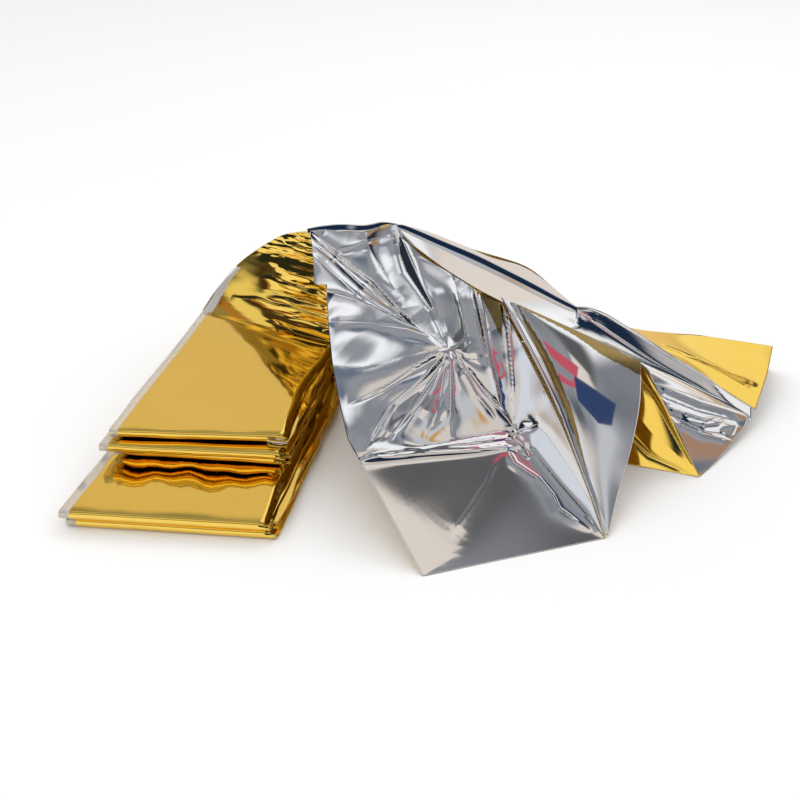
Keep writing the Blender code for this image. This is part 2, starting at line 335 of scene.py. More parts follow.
# %% Accordion strip tree
def accordion_tree():
    tree, source, result = new_group("accordion_strip", "GeometryNodeTree", [
        ("INPUT", "Geometry", "NodeSocketGeometry", None),
        ("INPUT", "Left Edge", "NodeSocketObject", None),
        ("INPUT", "Right Edge", "NodeSocketObject", None),
        ("INPUT", "Places", "NodeSocketInt", 10),
        ("INPUT", "Leaves", "NodeSocketInt", 6),
        ("INPUT", "Columns", "NodeSocketInt", 10),
        ("INPUT", "Leaf Gap", "NodeSocketFloat", 0.0004),
        ("INPUT", "Unevenness", "NodeSocketFloat", 0.0002),
        ("INPUT", "Side Shift", "NodeSocketFloat", 0.02),
        ("INPUT", "Clear Width", "NodeSocketFloat", 0.03),
        ("INPUT", "Seed", "NodeSocketInt", 3),
        ("INPUT", "Film", "NodeSocketMaterial", None),
        ("INPUT", "Clear Film", "NodeSocketMaterial", None),
        ("OUTPUT", "Geometry", "NodeSocketGeometry", None),
    ])
    tree.is_modifier = True
    take = source.outputs
    columns = add_math(tree, "MULTIPLY_ADD", take["Leaves"], take["Columns"], 1.0)
    grid = add_node(tree, "GeometryNodeMeshGrid", {"Size X": 1.0, "Size Y": 1.0,
                                                   "Vertices X": take["Places"], "Vertices Y": columns})
    flat = add_node(tree, "ShaderNodeSeparateXYZ",
                    {0: add_node(tree, "GeometryNodeInputPosition").outputs[0]})
    last = add_math(tree, "SUBTRACT", take["Places"], 1.0)
    row = add_math(tree, "ROUND", add_math(tree, "MULTIPLY", add_math(
        tree, "ADD", flat.outputs["X"], 0.5), last))
    across = add_math(tree, "MULTIPLY", add_math(tree, "ADD", flat.outputs["Y"], 0.5), take["Leaves"])
    store = add_node(tree, "GeometryNodeStoreNamedAttribute",
                     {"Geometry": grid.outputs["Mesh"], "Name": "across", "Value": across},
                     data_type="FLOAT", domain="POINT")

    def sample(edge, field, kind):
        shape = add_node(tree, "GeometryNodeObjectInfo", {"Object": edge}).outputs["Geometry"]
        return add_node(tree, "GeometryNodeSampleIndex",
                        {"Geometry": shape, "Value": field, "Index": row},
                        data_type=kind, domain="POINT").outputs[0]

    place = add_node(tree, "GeometryNodeInputPosition").outputs[0]
    outward = add_node(tree, "GeometryNodeInputNamedAttribute", {"Name": "outward"},
                       data_type="FLOAT_VECTOR").outputs[0]
    left = sample(take["Left Edge"], place, "FLOAT_VECTOR")
    right = sample(take["Right Edge"], place, "FLOAT_VECTOR")
    side = sample(take["Left Edge"], outward, "FLOAT_VECTOR")

    lateral = add_math(tree, "PINGPONG", across, 1.0)
    whole = add_math(tree, "FLOOR", across)
    part = add_math(tree, "SUBTRACT", across, whole)
    turn = add_node(tree, "ShaderNodeMapRange", {"Value": part, "From Min": 0.94, "From Max": 1.0},
                    interpolation_type="SMOOTHSTEP").outputs["Result"]
    layer = add_math(tree, "MINIMUM", add_math(tree, "ADD", whole, turn),
                     add_math(tree, "SUBTRACT", take["Leaves"], 1.0))
    middle = add_math(tree, "MULTIPLY", add_math(tree, "SUBTRACT", take["Leaves"], 1.0), 0.5)
    out = add_math(tree, "MULTIPLY", add_math(tree, "SUBTRACT", layer, middle), take["Leaf Gap"])
    pair = add_math(tree, "FLOOR", add_math(tree, "MULTIPLY", across, 0.5))
    spot = add_node(tree, "ShaderNodeCombineXYZ", {0: add_math(tree, "MULTIPLY", row, 0.045),
                                                   1: add_math(tree, "MULTIPLY", pair, 7.3),
                                                   2: take["Seed"]}).outputs[0]
    drift = add_node(tree, "ShaderNodeTexNoise", {"Vector": spot, "Scale": 1.0}).outputs["Fac"]
    drift = add_math(tree, "MULTIPLY", add_math(tree, "SUBTRACT", drift, 0.5), take["Side Shift"])
    lateral = add_math(tree, "MULTIPLY", lateral, add_math(tree, "ADD", drift, 1.0))
    ripple_spot = add_node(tree, "ShaderNodeCombineXYZ", {0: add_math(tree, "MULTIPLY", row, 0.13),
                                                          1: add_math(tree, "MULTIPLY", lateral, 3.6),
                                                          2: add_math(tree, "MULTIPLY", whole, 0.35)})
    ripple = add_node(tree, "ShaderNodeTexNoise", {"Vector": ripple_spot.outputs[0], "Scale": 1.0})
    ripple = add_math(tree, "MULTIPLY", add_math(tree, "SUBTRACT", ripple.outputs["Fac"], 0.5),
                      take["Unevenness"])
    point = add_node(tree, "ShaderNodeMix", {"Factor": lateral, 4: left, 5: right},
                     data_type="VECTOR", clamp_factor=False).outputs[1]
    step = add_node(tree, "ShaderNodeVectorMath", {0: side, 3: add_math(tree, "ADD", out, ripple)},
                    operation="SCALE").outputs[0]
    point = add_node(tree, "ShaderNodeVectorMath", {0: point, 1: step}, operation="ADD").outputs[0]
    moved = add_node(tree, "GeometryNodeSetPosition", {"Geometry": store.outputs[0],
                                                       "Position": point}).outputs[0]
    smooth = add_node(tree, "GeometryNodeSetShadeSmooth", {"Geometry": moved}).outputs[0]
    real = add_node(tree, "GeometryNodeRealizeInstances", {"Geometry": smooth}).outputs[0]
    film = add_node(tree, "GeometryNodeSetMaterial", {"Geometry": real,
                                                      "Material": take["Film"]}).outputs[0]
    stored = add_node(tree, "GeometryNodeInputNamedAttribute", {"Name": "across"},
                      data_type="FLOAT").outputs[0]
    rim = add_math(tree, "SUBTRACT", take["Leaves"], take["Clear Width"])
    clear = add_math(tree, "GREATER_THAN", stored, rim)
    film = add_node(tree, "GeometryNodeSetMaterial", {"Geometry": film, "Selection": clear,
                                                      "Material": take["Clear Film"]}).outputs[0]
    tree.links.new(film, result.inputs["Geometry"])
    return tree


# %% [markdown]
# ## Baking the packet
# The tree runs as a modifier on an empty object. Its inputs are set by their identifiers before the
# object is first evaluated, and `new_from_object` keeps the result as a plain mesh, so that nothing
# live is left on the piece. The two meshes of edge points have done their work and are removed.


# %% Folded packet
def bake_tree(name, tree, values):
    """Runs a Geometry Nodes tree on an empty object and keeps the result as a plain mesh."""
    host = bpy.data.objects.new(name + "_host", bpy.data.meshes.new(name + "_host"))
    bpy.context.collection.objects.link(host)
    modifier = host.modifiers.new(name, "NODES")
    modifier.node_group = tree
    for item in tree.interface.items_tree:
        if item.item_type == "SOCKET" and item.in_out == "INPUT" and item.name in values:
            modifier[item.identifier] = values[item.name]
    shown = host.evaluated_get(bpy.context.evaluated_depsgraph_get())
    mesh = bpy.data.meshes.new_from_object(shown)
    bpy.data.objects.remove(host, do_unlink=True)
    mesh.name = name
    piece = bpy.data.objects.new(name, mesh)
    bpy.context.collection.objects.link(piece)
    return piece


packet = bake_tree("folded_packet", accordion_tree(), {
    "Left Edge": left_edge, "Right Edge": right_edge, "Places": len(strip), "Leaves": LEAVES,
    "Columns": 20, "Leaf Gap": LEAF_GAP * MM, "Unevenness": 0.0012, "Side Shift": 0.22,
    "Clear Width": 0.05, "Seed": 5, "Film": GOLD_SMOOTH, "Clear Film": CLEAR_EDGE})
for guide in (left_edge, right_edge):
    bpy.data.objects.remove(guide, do_unlink=True)
print("packet faces:", len(packet.data.polygons))

# %% [markdown]
# ## Panels to drop a net onto
# The drape's broad shape is a few panels between the named points. A Subdivision Surface rounds them,
# and edge creases keep the folds sharp. Its own mesh has uneven faces, so it is only a form: an even
# net of points is dropped straight down onto it, as a sheet would be laid on a form.


# %% Panels and dropping
def panel_surface(panels, sharp, corners, levels):
    """Catmull-Clark panels between the named points, as a tree that a point can be dropped on."""
    used = sorted({corner for panel in panels for corner in panel})
    mesh = bmesh.new()
    crease = mesh.edges.layers.float.new("crease_edge")
    point = mesh.verts.layers.float.new("crease_vert")
    verts = {key: mesh.verts.new(POINTS[key]) for key in used}
    for panel in panels:
        mesh.faces.new([verts[key] for key in panel])
    for weight, *chain in sharp:
        for a, b in zip(chain, chain[1:]):
            mesh.edges.get((verts[a], verts[b]))[crease] = weight
    for key in corners:
        verts[key][point] = 1.0
    data = bpy.data.meshes.new("panels")
    mesh.to_mesh(data)
    mesh.free()
    coarse = bpy.data.objects.new("panels", data)
    bpy.context.collection.objects.link(coarse)
    smooth = coarse.modifiers.new("panels", "SUBSURF")
    smooth.levels = smooth.render_levels = levels
    smooth.boundary_smooth = "PRESERVE_CORNERS"
    surface = BVHTree.FromObject(coarse, bpy.context.evaluated_depsgraph_get())
    bpy.data.objects.remove(coarse, do_unlink=True)
    return surface


def drop(places, surface):
    """Moves points straight down onto a surface; one that misses goes to the nearest height."""
    flat = places.reshape(-1, 3)
    for i, place in enumerate(flat):
        hit = surface.ray_cast(Vector((place[0], place[1], 400.0)), Vector((0, 0, -1)))[0]
        if hit is None:
            hit = surface.find_nearest(Vector(place))[0]
        flat[i, 2] = hit[2]
    return flat.reshape(places.shape)


# %% [markdown]
# ## Nets of points
# An open leaf is a net stretched between its edges. Where its outline is simple, each row is a
# straight line from a point on the left edge to one on the right edge. Where all four edges curve, a
# Coons patch finds the smoothest net that meets them. Nets are quick to change and have even faces,
# which a mirror finish needs: long thin faces would show as streaks.


# %% Nets
def along(points, count, smooth=True):
    """A line through points, cut into equal steps; smooth or straight between the points."""
    keys = np.array(points, dtype=float)
    if smooth and len(keys) > 2:
        ends = np.vstack([2 * keys[0] - keys[1], keys, 2 * keys[-1] - keys[-2]])
        fine = []
        for i in range(len(keys) - 1):
            a, b, c, d = ends[i:i + 4]
            t = np.linspace(0, 1, 40, endpoint=False)[:, None]
            fine.append(0.5 * (2 * b + (c - a) * t + (2 * a - 5 * b + 4 * c - d) * t * t
                               + (3 * b - a - 3 * c + d) * t ** 3))
        keys = np.vstack(fine + [keys[-1:]])
    steps = np.linalg.norm(np.diff(keys, axis=0), axis=1)
    run = np.concatenate([[0.0], np.cumsum(steps)])
    spots = np.linspace(0, run[-1], count)
    return np.stack([np.interp(spots, run, keys[:, k]) for k in range(keys.shape[1])], axis=1)


def ruled(rows, steps, smooth=True):
    """A net of straight rows between matched points of the left and the right edge."""
    keys = np.array([list(left) + list(right) for left, right in rows], dtype=float)
    edges = along(keys, steps[0], smooth)
    t = np.linspace(0, 1, steps[1])[None, :, None]
    return edges[:, None, :3] * (1 - t) + edges[:, None, 3:] * t


def patch(top, bottom, left, right, steps):
    """A Coons patch: the smoothest net that meets four edge lines."""
    rows, columns = steps
    top, bottom = along(top, columns), along(bottom, columns)
    left, right = along(left, rows), along(right, rows)
    u = np.linspace(0, 1, columns)[None, :, None]
    v = np.linspace(0, 1, rows)[:, None, None]
    across = top[None] * (1 - v) + bottom[None] * v
    down = left[:, None] * (1 - u) + right[:, None] * u
    corners = ((top[0] * (1 - u) + top[-1] * u) * (1 - v) + (bottom[0] * (1 - u) + bottom[-1] * u) * v)
    return across + down - corners


print("even steps round a bend:", along([(0, 0, 0), (1, 1, 0), (2, 0, 0)], 5).round(2).tolist())

# %% [markdown]
# ## From a net to a mesh
# Four neighbouring points of a net make one face, wound so that it faces up. The rows and columns also
# make a UV map. Reading and writing all the points at once with `foreach_get` and `foreach_set` is far
# quicker than a loop over vertices, and lets numpy work out every height in one go.


# %% Meshes from nets
def net_piece(name, places):
    """A mesh from a net of points; its rows and columns are kept as a UV map."""
    rows, columns = places.shape[:2]
    index = np.arange(rows * columns).reshape(rows, columns)
    faces = np.stack([index[:-1, :-1], index[1:, :-1], index[1:, 1:], index[:-1, 1:]], axis=-1)
    mesh = bpy.data.meshes.new(name)
    mesh.from_pydata(places.reshape(-1, 3).tolist(), [], faces.reshape(-1, 4).tolist())
    v, u = np.meshgrid(np.linspace(1, 0, rows), np.linspace(0, 1, columns), indexing="ij")
    loops = np.empty(len(mesh.loops), dtype=int)
    mesh.loops.foreach_get("vertex_index", loops)
    layer = mesh.uv_layers.new(name="film")
    layer.data.foreach_set("uv", np.stack([u.ravel()[loops], v.ravel()[loops]], axis=1).ravel())
    piece = bpy.data.objects.new(name, mesh)
    bpy.context.collection.objects.link(piece)
    return piece


def read_points(piece):
    count = len(piece.data.vertices)
    points = np.empty(count * 3)
    piece.data.vertices.foreach_get("co", points)
    normals = np.empty(count * 3)
    piece.data.vertex_normals.foreach_get("vector", normals)
    return points.reshape(-1, 3), normals.reshape(-1, 3)


def write_points(piece, points):
    piece.data.vertices.foreach_set("co", np.ascontiguousarray(points).ravel())
    piece.data.update()


def press(piece, folds):
    """Moves each point of a net along its normal by the height that `folds` gives for it."""
    points, normals = read_points(piece)
    write_points(piece, points + normals * folds(points)[:, None])


def face_grid(steps):
    """Row and column of each face of a net, both from 0 to 1."""
    return np.meshgrid(np.linspace(0, 1, steps[0] - 1), np.linspace(0, 1, steps[1] - 1), indexing="ij")


# %% [markdown]
# ## Creases, facets and waves
# A crease is a line of points seen from above with a height and a width to each side, so it can be a
# soft ridge, a trough, or a cliff where one side is narrow. Its profile is an exponential cusp and
# not a round bump, because a sharp line with hollow sides is what makes a mirror look like creased
# film. Facets are the small leaning planes between creases, and waves are the slow swell of film that
# is not pulled tight. Sculpting could do all three, but here each one can be changed by itself.


# %% Heights to press in
def crease_heights(points, creases):
    """Summed height of creases; left and right are as seen along the line, from above."""
    total = np.zeros(len(points))
    flat = points[:, :2]
    for height, left, right, *line in creases:
        line = np.array(line, dtype=float)
        steps = np.linalg.norm(np.diff(line, axis=0), axis=1)
        run = np.concatenate([[0.0], np.cumsum(steps)])
        best = np.full(len(points), 1e9)
        side = np.zeros(len(points))
        spot = np.zeros(len(points))
        for i, (a, b) in enumerate(zip(line, line[1:])):
            step = b - a
            t = np.clip((flat - a) @ step / (step @ step), 0.0, 1.0)
            off = flat - a - t[:, None] * step
            away = np.linalg.norm(off, axis=1)
            closer = away < best
            best = np.where(closer, away, best)
            side = np.where(closer, step[0] * off[:, 1] - step[1] * off[:, 0], side)
            spot = np.where(closer, run[i] + t * steps[i], spot)
        part = spot / run[-1]
        fade = np.clip(part * 9 + 0.3, 0, 1) * np.clip((1 - part) * 4, 0, 1)
        width = np.where(side > 0, left, right)
        total += height * fade * np.exp(-best / width)
    return total


def facet_heights(coords, cell, height, seed):
    """Crumpled facets: each scattered cell leans its own way and meets the next in a crease."""
    low = coords.min(axis=0) - cell
    high = coords.max(axis=0) + cell
    random = np.random.default_rng(seed)
    count = int(np.prod((high - low) / cell)) + 4
    seeds = random.uniform(low, high, size=(count, coords.shape[1]))
    lift = random.uniform(-1.0, 1.0, size=count)
    lean = random.normal(0.0, 1.0, size=(count, coords.shape[1])) / cell
    nearest = np.full(len(coords), 1e9)
    second = np.full(len(coords), 1e9)
    own = np.zeros(len(coords), dtype=int)
    for i, place in enumerate(seeds):
        distance = np.linalg.norm(coords - place, axis=1)
        closer = distance < nearest
        second = np.where(closer, nearest, np.minimum(second, distance))
        own = np.where(closer, i, own)
        nearest = np.where(closer, distance, nearest)
    edge = np.clip((second - nearest) / cell, 0.0, 1.0)
    tilt = np.sum((coords - seeds[own]) * lean[own], axis=1)
    return height * edge * (0.7 * lift[own] + 0.6 * tilt)


def wave_heights(coords, length, height, seed):
    """Long soft waves: five sine waves at scattered bearings."""
    random = np.random.default_rng(seed)
    total = np.zeros(len(coords))
    for _ in range(5):
        bearing = random.uniform(0, math.tau)
        phase = random.uniform(0, math.tau)
        size = length * random.uniform(0.6, 1.6)
        run = coords[:, 0] * math.cos(bearing) + coords[:, 1] * math.sin(bearing)
        total += np.sin(run * math.tau / size + phase)
    return total * height / 5


flat_row = np.array([[x, 0.0, 0.0] for x in (-4, -2, 0, 2, 4)])
print("heights across a crease:", crease_heights(flat_row, [(2.0, 1, 3, (0, -9), (0, 9))]).round(2).tolist())

# %% [markdown]
# ## Both faces of the film
# Solidify gives a net its thickness and gives the new face the next material in the list, so a leaf
# can be silver on top and gold below. A few bands and patches take the darker brown-gold film by
# their place in the net, a painted reflection of gold in the silver.


# %% Film finish
# painted reflection: the slot of the darker brown-gold film that stands in for mirrored gold
PAINTED_REFLECTION_SLOT = 2            # place of the brown-gold film in a sheet's list of materials


def inside(points, corners):
    """Which points lie inside a convex outline given clockwise from above."""
    keep = np.ones(len(points), dtype=bool)
    for a, b in zip(corners, corners[1:] + corners[:1]):
        keep &= (b[0] - a[0]) * (points[:, 1] - a[1]) - (b[1] - a[1]) * (points[:, 0] - a[0]) <= 0
    return keep


def face_centres(piece):
    centres = np.empty(len(piece.data.polygons) * 3)
    piece.data.polygons.foreach_get("center", centres)
    return centres.reshape(-1, 3)


def paint_gold_reflection(piece, chosen):
    """Faces that take the darker brown-gold film: a painted reflection of gold in the silver."""
    kinds = np.zeros(len(piece.data.polygons), dtype=np.int32)
    kinds[chosen] = PAINTED_REFLECTION_SLOT
    piece.data.polygons.foreach_set("material_index", kinds)


def finish_sheet(piece, outer, inner, thickness=FILM):
    """Two-sided film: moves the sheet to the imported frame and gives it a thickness."""
    points, _ = read_points(piece)
    points[:, 2] = np.maximum(points[:, 2], LOWEST)
    write_points(piece, to_frame(points))
    mesh = piece.data
    kinds = np.empty(len(mesh.polygons), dtype=np.int32)
    mesh.polygons.foreach_get("material_index", kinds)
    mesh.materials.clear()
    # the third slot holds the painted reflection, the darker brown-gold film
    for material in (outer, inner, PAINTED_GOLD_REFLECTION, outer):
        mesh.materials.append(material)
    mesh.polygons.foreach_set("material_index", kinds)
    mesh.polygons.foreach_set("use_smooth", [True] * len(mesh.polygons))
    solid = piece.modifiers.new("film", "SOLIDIFY")
    solid.thickness = thickness * MM
    solid.offset = -1.0
    solid.material_offset = 1
    area = sum(face.area for face in mesh.polygons)
    print(piece.name, "faces:", len(mesh.polygons), "area m2:", round(area, 4))
    return area


# %% [markdown]
# ## The silver drape
# This is the part that is creased most. It falls from the ridge to the surface, is gathered in a
# hub from which creases run out like a fan, and has a pleat across it above a flat lower panel. Cloth
# simulation gives soft folds, and this film holds hard ones, so the drape starts from panels with
# sharp edges, and its creases are pressed in afterwards.

# %% Silver drape
DRAPE_PANELS = [
    ("arch_end", "edge_high", "fan_high"), ("arch_end", "fan_high", "notch"),
    ("notch", "fan_high", "fan_right"), ("notch", "fan_right", "peak"),
    ("fan_high", "hub", "fan_right"), ("edge_high", "hub", "fan_high"),
    ("edge_high", "edge_middle", "hub"), ("edge_middle", "fan_low", "hub"),
    ("edge_middle", "edge_low", "fan_low"), ("edge_low", "pleat_left", "fan_low"),
    ("fan_low", "fan_foot", "hub"), ("fan_low", "pleat_left", "fan_foot"),
    ("pleat_left", "small_hub", "fan_foot"), ("fan_foot", "small_hub", "hub"),
    ("hub", "small_hub", "fan_side"), ("peak", "fan_right", "long_edge_start"),
    ("long_edge_start", "fan_right", "hub"), ("long_edge_start", "hub", "long_edge_low"),
    ("long_edge_low", "hub", "fan_side"), ("long_edge_low", "fan_side", "flap_shoulder"),
    ("fan_side", "small_hub", "flap_shoulder"),
    ("pleat_left", "pleat_right", "small_hub"), ("pleat_left", "front_corner", "pleat_right"),
    ("front_corner", "flap_tip", "pleat_right"),
    ("flap_shoulder", "small_hub", "flap_ridge"), ("small_hub", "pleat_right", "flap_ridge"),
    ("pleat_right", "flap_tip", "flap_ridge"),
]
DRAPE_SHARP = [
    (1.0, "arch_end", "notch", "peak", "long_edge_start", "long_edge_low", "flap_shoulder"),
    (1.0, "arch_end", "edge_high", "edge_middle", "edge_low", "pleat_left", "front_corner"),
    (1.0, "front_corner", "flap_tip", "flap_ridge", "flap_shoulder"),
    (0.7, "arch_end", "fan_high", "hub"),
    (1.0, "pleat_left", "small_hub"),
    (1.0, "pleat_left", "pleat_right", "flap_tip"),
    (0.8, "hub", "small_hub", "pleat_right"),
]
DRAPE_CORNERS = ["arch_end", "notch", "peak", "front_corner", "flap_tip", "pleat_left", "small_hub",
                 "flap_shoulder", "hub"]
DRAPE_ROWS = [
    # left edge, right edge; heights come from the panels
    ((-54, 186, 95), (-2, 170, 106)), ((-51, 164, 84), (4, 162, 98)),
    ((-50, 151, 76), (14, 151, 92)), ((-43, 149, 75), (16, 149, 91)),
    ((-41, 125, 66), (36, 132, 85)), ((-38, 95, 54), (57, 116, 80)),
    ((-32, 62, 44), (68, 92, 65)), ((-27, 38, 37), (78, 70, 51)),
    ((-20, 20, 35), (85, 55, 41)), ((-9, 3, 24), (92, 38, 28)),
    ((11, -29, 0), (105, 3, 0)),
]
DRAPE_STEPS = (300, 150)
drape_form = panel_surface(DRAPE_PANELS, DRAPE_SHARP, DRAPE_CORNERS, 4)
drape = net_piece("silver_drape", drop(ruled(DRAPE_ROWS, DRAPE_STEPS, smooth=False), drape_form))
print("drape faces:", len(drape.data.polygons))

# %% [markdown]
# ## The drape's creases
# Each row is one crease: how high it stands, how wide it is to its left and right, and its line. Most
# of them run into the hub. A wide side and a narrow side make a lit slope beside a sharp dark line.
# The facets' own places are measured round the hub, so that they are long and point to it.

# %% Drape creases
DRAPE_CREASES = [
    # height, width to the left, width to the right, points along the crease
    (3.6, 10, 0.8, (-54, 186), (-33, 161), (-15, 141), (-1, 120), (9, 106), (26, 87)),
    (0.9, 2.5, 1.0, (-52, 177), (-38, 162), (-22, 141), (-9, 126), (2, 114), (12, 103)),
    (0.6, 2.0, 1.5, (-51, 170), (-40, 156), (-26, 138), (-12, 122)),
    (-2.6, 4.0, 2.2, (-2, 167), (-1, 155), (3, 143), (10, 130), (18, 114), (23, 99), (26, 87)),
    (1.8, 1.0, 3.0, (1, 162), (7, 146), (13, 130), (18, 117), (23, 100)),
    (2.0, 1.2, 8.0, (-43, 144), (-26, 133), (-12, 122), (0, 112), (13, 101), (26, 89)),
    (-1.4, 3.5, 5.0, (-40, 122), (-16, 115), (4, 106), (23, 92)),
    (2.0, 0.9, 6.0, (26, 86), (9, 78), (-9, 67), (-28, 62)),
    (2.6, 0.9, 7.0, (25, 85), (14, 73), (-3, 56), (-19, 27)),
    (-1.8, 3.0, 4.0, (25, 84), (16, 70), (4, 50), (-12, 30)),
    (1.6, 1.5, 5.0, (26, 84), (19, 68), (10, 54), (0, 38)),
    (-1.4, 2.5, 3.0, (26, 84), (23, 68), (19, 52), (12, 38)),
    (1.4, 1.2, 4.0, (27, 84), (27, 70), (27, 58), (26, 46)),
    (2.6, 0.9, 3.0, (28, 86), (35, 79), (44, 70), (53, 66), (61, 62)),
    (-1.8, 1.4, 1.4, (30, 87), (41, 77), (49, 70), (57, 65)),
    (-2.6, 3.0, 1.2, (-4, 122), (9, 107), (24, 89), (32, 80)),
    (1.3, 0.8, 2.0, (33, 78), (40, 68), (52, 61)),
    (2.2, 1.2, 1.6, (42, 126), (46, 103), (49, 83), (53, 69), (61, 62)),
    (2.2, 1.4, 1.1, (57, 116), (60, 101), (61, 86), (62, 64)),
    (-1.0, 3.0, 2.0, (30, 137), (34, 116), (38, 100), (36, 86)),
    (1.3, 0.8, 3.5, (-36, 165), (-19, 168), (-3, 164)),
    (-1.2, 3.0, 2.0, (-21, 174), (-18, 163), (-9, 145), (-2, 132)),
    (1.5, 1.5, 1.2, (-21, 23), (17, 38), (42, 48), (63, 57)),
    (1.7, 1.6, 0.7, (-22, 20), (17, 34), (40, 42), (56, 48), (69, 52)),
    (0.9, 0.8, 0.8, (-18, 22), (16, 36), (42, 45), (60, 53)),
    (1.8, 1.2, 1.2, (61, 62), (66, 56), (70, 50)), (-1.6, 1.0, 1.0, (59, 58), (66, 60), (74, 58)),
    (1.4, 1.0, 1.0, (58, 54), (64, 50), (68, 44)),
    (0.25, 2.0, 3.0, (27, -4), (37, 12), (45, 26), (48, 34), (57, 48)),
    (1.0, 1.2, 3.0, (57, 47), (60, 40), (72, 33), (79, 24), (82, 16), (98, 6)),
    (1.6, 1.2, 3.0, (69, 51), (84, 30), (105, 3)),
    (-0.8, 3.0, 3.0, (66, 66), (78, 52), (92, 30), (104, 8)),
]


HUB = np.array((26.0, 86.0))


def drape_folds(points):
    reach = points[:, :2] - HUB
    radius = np.linalg.norm(reach, axis=1)
    bearing = np.arctan2(reach[:, 1], reach[:, 0])
    polar = np.stack([radius * 0.5, bearing * 34], axis=1)
    upper = 1 / (1 + np.exp(-(points[:, 1] - 25 - 0.42 * (points[:, 0] + 20)) / 1.5))
    fan = upper * np.clip(radius / 12, 0, 1)
    height = crease_heights(points, DRAPE_CREASES)
    height += facet_heights(polar, 15, 0.9, 4) * fan
    height += wave_heights(points, 46, 1.6, 2) * upper
    height += wave_heights(points, 70, 0.18, 3) * (1 - upper)
    return height


press(drape, drape_folds)
# painted reflection: this patch of the drape takes the darker brown-gold film in place of plain silver
PAINTED_REFLECTION_PATCH = [(44, 124), (58, 117), (56, 98)]
paint_gold_reflection(drape, inside(face_centres(drape), PAINTED_REFLECTION_PATCH))
drape_area = finish_sheet(drape, SILVER_CREASED, GOLD_CREASED)

# %% [markdown]
# ## The silver flap
# A three-cornered flap is turned down over the drape's right side. It is pulled tight, so it stays
# smooth: a few long soft waves, a sharp left fold, and a free right edge that bows outward. Its net
# starts from straight rows, and half a sine lifts its middle. Along the left fold and the top edge a
# narrow band takes the darker brown-gold film, a painted reflection of gold in the silver.

# %% Silver flap
FLAP_ROWS = [
    # left fold, right edge
    ((56, 117, 81.5), (133, 94, 53)), ((61, 106, 74.5), (132, 84, 48)), ((71, 86, 61.6), (129, 68, 39)),
    ((83, 59, 44.6), (122, 46, 26)), ((94, 31, 22.5), (113, 24, 12)), ((105, 3, 0.5), (106, 3, 0.5)),
]
FLAP_CREASES = [
    (2.2, 0.8, 1.4, (57, 117), (72, 86), (84, 59), (105, 3)),
    (-1.6, 2.0, 3.0, (62, 114), (77, 85), (88, 58), (106, 6)),
    (0.9, 1.0, 4.0, (60, 116), (90, 108), (133, 95)),
]
FLAP_STEPS = (150, 90)
flap_net = ruled(FLAP_ROWS, FLAP_STEPS)
flap_down = np.linspace(0, 1, FLAP_STEPS[0])[:, None]
flap_across = np.linspace(0, 1, FLAP_STEPS[1])[None, :]
flap_net[:, :, 2] += 1.5 + 5.0 * np.sin(math.pi * flap_across) * np.sin(math.pi * np.sqrt(flap_down))
flap = net_piece("silver_flap", flap_net)
press(flap, lambda points: crease_heights(points, FLAP_CREASES) + wave_heights(points, 70, 0.9, 6))
row, column = face_grid(FLAP_STEPS)
# painted reflection: bands along the left fold and the top edge take the darker brown-gold film
side_reflection_band = np.abs(column - 0.11 - 0.10 * row) < 0.05 * np.sin(math.pi * row / 0.8)
side_reflection_band &= row < 0.8
top_reflection_band = row < 0.09 * np.clip(column * 1.6 - 0.1, 0, 1) * (1 + 0.1 * np.sin(column * 11))
paint_gold_reflection(flap, (side_reflection_band | top_reflection_band).ravel())
flap_area = finish_sheet(flap, SILVER_SMOOTH, GOLD_SMOOTH)

# %% [markdown]
# ## The long leaf
# From the ridge a single leaf runs down to the right. It is almost smooth, so its reflection is an
# even one, and it ends in a curved free edge with a crumpled band just before it. The smooth part
# has two curved edges, so it is a Coons patch; the crumpled end is straight rows with many creases.

# %% Long leaf
LONG_TOP = [(-2, 170, 105), (53, 171, 79), (108, 171, 49), (146, 149, 31), (178, 130, 19), (204, 115, 9)]
LONG_BOTTOM = [(6, 160, 98), (29, 138, 89), (57, 116, 81), (103, 104, 65), (133, 94, 53.5), (140, 87, 45)]
LONG_LEFT = [(-2, 170, 105), (6, 160, 98)]
LONG_RIGHT = [(204, 115, 9), (140, 87, 45)]
LONG_CREASES = [
    (1.0, 0.8, 3.0, (108, 172), (104, 152), (101, 134)), (-0.8, 1.5, 1.0, (108, 172), (111, 158)),
]
LEAF_END_ROWS = [
    # end of the smooth part, free edge
    ((140, 87, 45), (204, 115, 9)), ((146.5, 80, 32), (199, 105, 6.5)), ((153.5, 73, 21.5), (190, 93, 4)),
    ((160, 66.5, 9), (178, 77, 1.8)), ((165, 61, 0.5), (165.5, 61.6, 0.4)),
]
LEAF_END_CREASES = [
    (1.2, 1.0, 2.0, (141, 87), (170, 98), (203, 113)), (-1.4, 1.6, 1.6, (143, 84), (170, 94), (202, 109)),
    (1.3, 1.0, 1.6, (146, 81), (170, 90), (198, 104)), (-1.0, 1.2, 1.2, (149, 79), (172, 86), (196, 99)),
    (1.2, 0.9, 1.6, (151, 76), (168, 82), (192, 94)), (0.8, 0.9, 0.9, (158, 84), (172, 90), (182, 99)),
    (0.8, 0.9, 0.9, (170, 86), (180, 93), (186, 102)), (0.6, 0.8, 0.8, (182, 92), (190, 96), (194, 104)),
]
long_leaf = net_piece("silver_long_leaf", patch(LONG_TOP, LONG_BOTTOM, LONG_LEFT, LONG_RIGHT, (80, 240)))
press(long_leaf, lambda points: crease_heights(points, LONG_CREASES) + wave_heights(points, 90, 0.25, 8))
long_area = finish_sheet(long_leaf, SILVER_SMOOTH, GOLD_SMOOTH)
leaf_end = net_piece("silver_leaf_end", ruled(LEAF_END_ROWS, (90, 140)))
press(leaf_end, lambda points: crease_heights(points, LEAF_END_CREASES))
